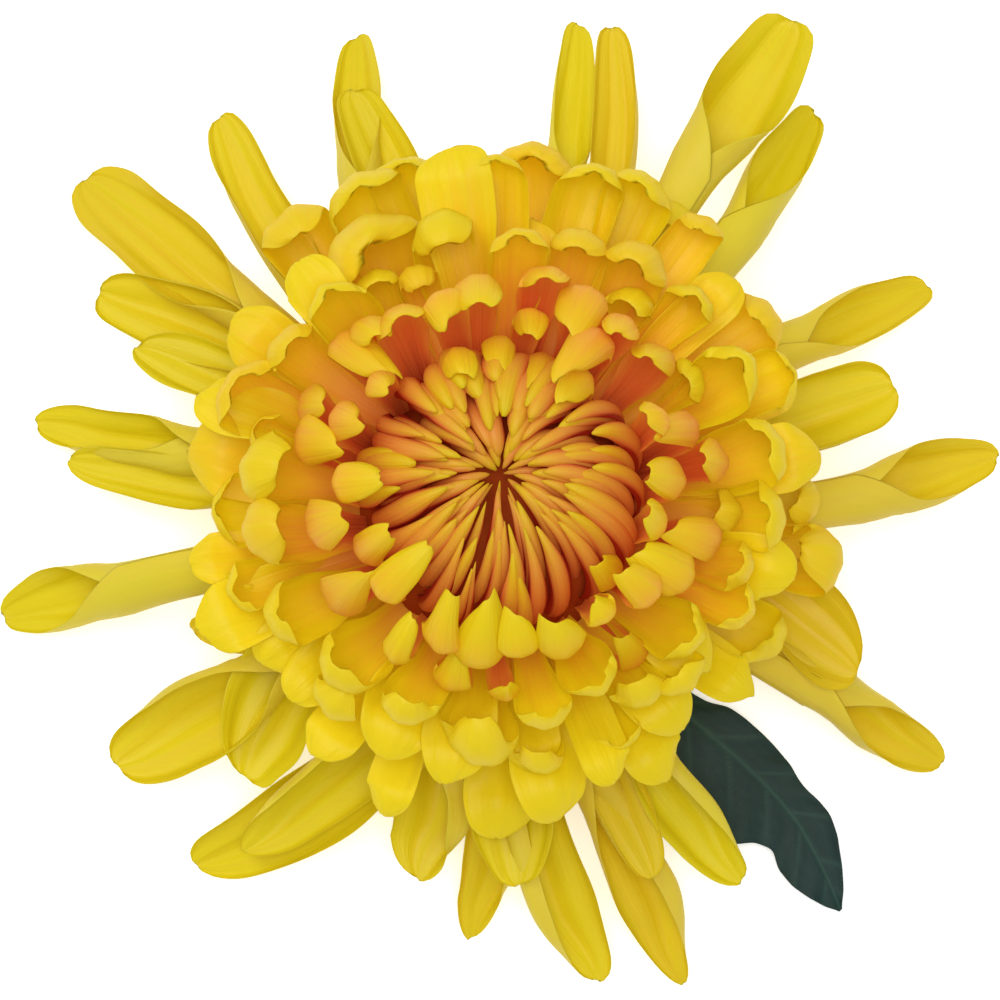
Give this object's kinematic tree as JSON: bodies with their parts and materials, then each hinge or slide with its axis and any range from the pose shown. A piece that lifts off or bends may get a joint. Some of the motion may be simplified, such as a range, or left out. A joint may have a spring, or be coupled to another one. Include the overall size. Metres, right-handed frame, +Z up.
{
  "type": "disbud chrysanthemum bloom",
  "caption": "Large yellow disbud chrysanthemum head on a short cut stem, with spoon-tipped outer rays, hooded inner florets and one lobed leaf.",
  "frame": {"origin": "on the surface that the bloom lies on, under the middle of its outline", "axes": "+Z up along the stem, out through the heart of the bloom; +X to the right and +Y to the top of the bloom as seen from above, with the leaf out towards +X and -Y"},
  "size_m": [0.143, 0.1394, 0.0525],
  "materials": {
    "petals": "satin",
    "calyx": "matte",
    "stem": "matte",
    "leaf": "satin"
  },
  "bodies": {
    "root": {"bloom": "petals", "calyx": "calyx", "stem": "stem", "leaf": "leaf"}
  },
  "joints": []
}
